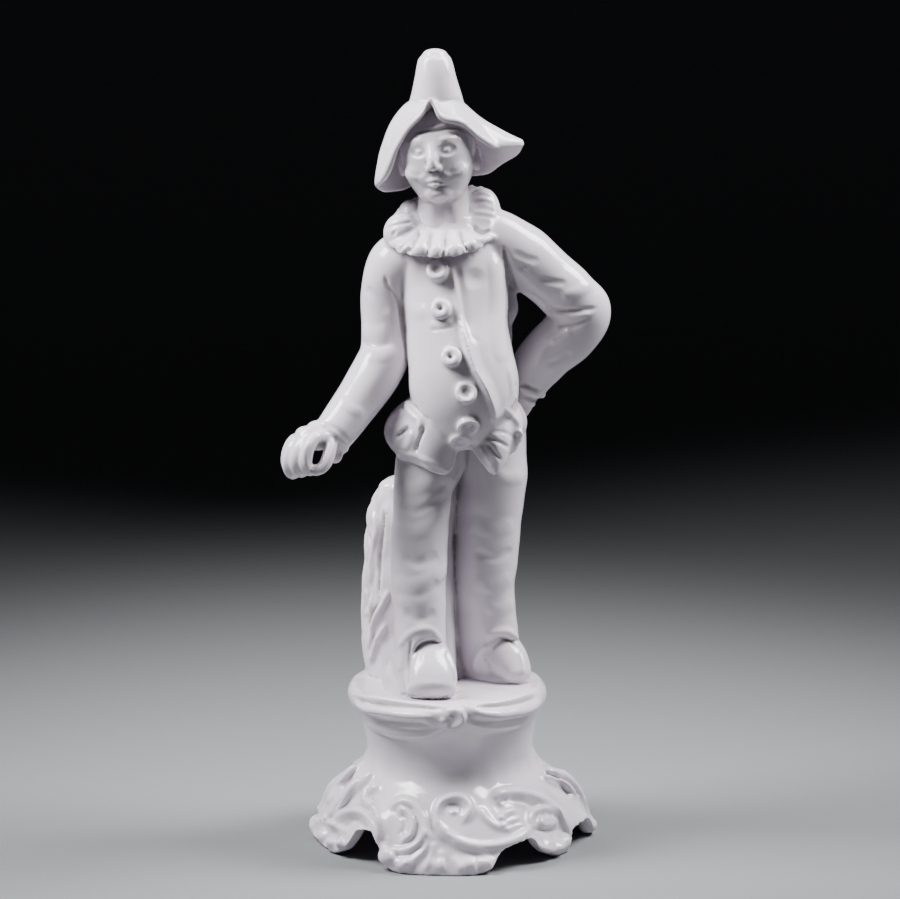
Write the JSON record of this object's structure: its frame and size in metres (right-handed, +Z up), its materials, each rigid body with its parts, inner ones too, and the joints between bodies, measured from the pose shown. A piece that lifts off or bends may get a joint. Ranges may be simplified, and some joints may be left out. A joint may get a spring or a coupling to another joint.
{
  "type": "porcelain figurine",
  "caption": "White glazed porcelain figure of a comedian in a tall hat, ruff and buttoned suit, standing by a stump on a hollow rocaille scroll base.",
  "frame": {"origin": "on the table under the middle of the object's bounding box", "axes": "+Z up, -Y towards the front that the figure faces, +X towards the viewer's right, which is the figure's left"},
  "size_m": [0.098, 0.082, 0.2405],
  "materials": {
    "porcelain": "gloss"
  },
  "bodies": {
    "root": {"porcelain_figure": "porcelain"}
  },
  "joints": []
}
